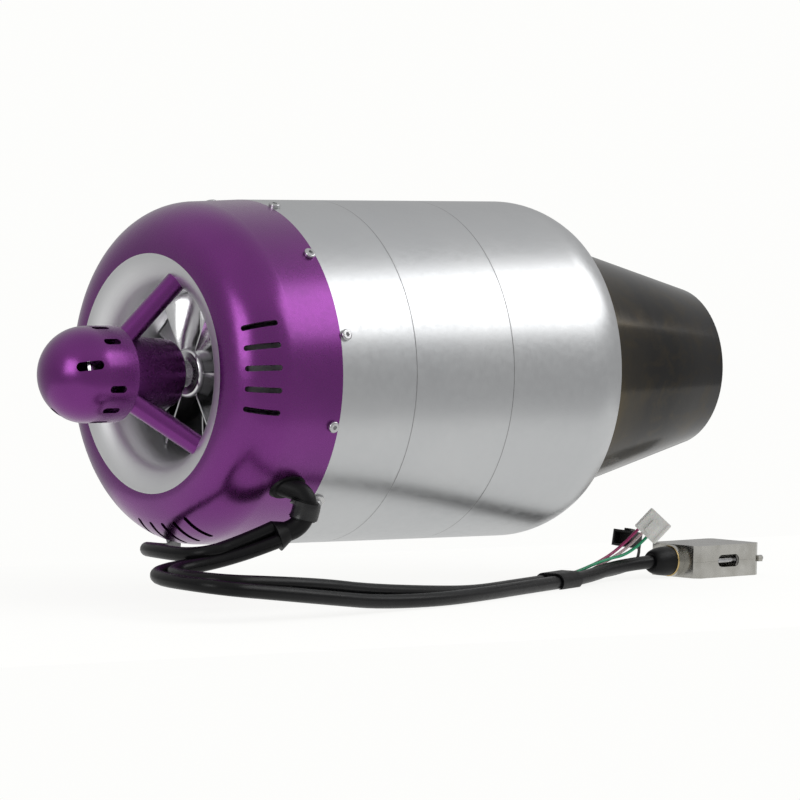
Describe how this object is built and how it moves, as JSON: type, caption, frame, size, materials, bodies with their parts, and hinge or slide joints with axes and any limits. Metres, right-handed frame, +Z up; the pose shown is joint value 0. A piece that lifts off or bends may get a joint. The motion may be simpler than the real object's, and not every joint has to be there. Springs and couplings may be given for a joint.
{
  "type": "jet engine",
  "caption": "Small turbojet with a purple intake cowl and starter dome, a plain silver casing, a dark exhaust cone and a plugged wiring harness.",
  "frame": {"origin": "on the engine axis, at the middle of the clamp land, the plain middle length of the casing", "axes": "+X along the engine axis towards the exhaust, +Z up, -Y towards the side where the cables leave the cowl"},
  "size_m": [0.4598, 0.2187, 0.196],
  "materials": {
    "purple_anodised": "satin anodised",
    "case_aluminium": "bead-blasted satin",
    "intake_aluminium": "satin, turned",
    "machined_aluminium": "machined, bright",
    "nozzle_alloy": "heat-tinted, glossy",
    "hot_alloy": "heat-tinted",
    "steel": "ground",
    "screw_steel": "bright",
    "ceramic": "polished",
    "copper": "enamelled windings",
    "black_rubber": "satin",
    "black_cable": "satin",
    "wire_magenta": "gloss",
    "wire_white": "gloss",
    "wire_green": "gloss",
    "wire_black": "gloss",
    "white_nylon": "moulded",
    "black_nylon": "moulded",
    "zinc": "nickel-plated die casting",
    "circuit_board": "solder mask",
    "brass_fitting": "turned"
  },
  "bodies": {
    "engine": {"black_plug": "black_nylon", "cable_clip": "steel", "cable_loop": "black_cable", "cable_power": "black_cable", "cable_signal": "black_cable", "cable_sleeve": "black_rubber", "casing_barrel": "case_aluminium", "casing_front_ring": "case_aluminium", "casing_rear_shell": "case_aluminium", "casing_screws": "screw_steel", "clip_cushion": "black_rubber", "combustor_cap": "hot_alloy", "combustor_inner_liner": "hot_alloy", "combustor_outer_liner": "hot_alloy", "connector_boot": "black_rubber", "cowl_grommets": "black_rubber", "d_insert": "zinc", "diffuser": "machined_aluminium", "ecu_board": "circuit_board", "exhaust_nozzle": "nozzle_alloy", "front_bearing_outer_ring": "steel", "fuel_inlet_fitting": "brass_fitting", "fuel_pump": "machined_aluminium", "fuel_ring": "steel", "glow_igniter": "steel", "hood_ferrule": "zinc", "hood_lower": "zinc", "hood_upper": "zinc", "intake_bellmouth": "intake_aluminium", "intake_cowl": "purple_anodised", "nozzle_guide_vanes": "hot_alloy", "nozzle_screws": "screw_steel", "rear_bearing_outer_ring": "steel", "shaft_tunnel": "machined_aluminium", "split_sleeve": "black_rubber", "starter_dome": "purple_anodised", "starter_spider": "purple_anodised", "starter_stator": "copper", "strut_screws": "screw_steel", "tail_bullet": "hot_alloy", "vaporiser_tubes": "hot_alloy", "white_plug": "white_nylon", "wire_black": "wire_black", "wire_green": "wire_green", "wire_magenta": "wire_magenta", "wire_white": "wire_white"},
    "rotor": {"compressor_wheel": "machined_aluminium", "compressor_nut": "steel", "rotor_shaft": "steel", "front_bearing_inner_ring": "steel", "rear_bearing_inner_ring": "steel", "turbine_wheel": "hot_alloy", "turbine_nut": "steel"},
    "front_bearing_cage": {"front_bearing_balls": "ceramic"},
    "rear_bearing_cage": {"rear_bearing_balls": "ceramic"},
    "starter_rotor": {"starter_bell": "machined_aluminium", "starter_shaft": "steel"},
    "clutch": {"clutch_cup": "machined_aluminium"},
    "near_jackscrew": {"jackscrew_near": "steel"},
    "far_jackscrew": {"jackscrew_far": "steel"}
  },
  "joints": [
    {"name": "rotor_spin", "type": "hinge", "parent": "engine", "child": "rotor", "pos_m": [0, 0, 0], "axis": [1, 0, 0], "continuous": true},
    {"name": "front_bearing_spin", "type": "hinge", "parent": "engine", "child": "front_bearing_cage", "pos_m": [-0.0592, 0, 0], "axis": [1, 0, 0], "continuous": true},
    {"name": "rear_bearing_spin", "type": "hinge", "parent": "engine", "child": "rear_bearing_cage", "pos_m": [0.0508, 0, 0], "axis": [1, 0, 0], "continuous": true},
    {"name": "starter_spin", "type": "hinge", "parent": "engine", "child": "starter_rotor", "pos_m": [-0.1672, 0, 0], "axis": [1, 0, 0], "continuous": true},
    {"name": "clutch_slide", "type": "slide", "parent": "starter_rotor", "child": "clutch", "axis": [1, 0, 0], "range_m": [0, 0.004]},
    {"name": "near_jackscrew_turn", "type": "hinge", "parent": "engine", "child": "near_jackscrew", "pos_m": [0.24349, -0.00286, -0.1025], "axis": [0.9878, 0.156, 0], "continuous": true},
    {"name": "far_jackscrew_turn", "type": "hinge", "parent": "engine", "child": "far_jackscrew", "pos_m": [0.23937, 0.02322, -0.1025], "axis": [0.9878, 0.156, 0], "continuous": true}
  ],
  "couplings": [
    {"joint": "front_bearing_spin", "follows": "rotor_spin", "ratio": 0.3989},
    {"joint": "rear_bearing_spin", "follows": "rotor_spin", "ratio": 0.3989}
  ]
}
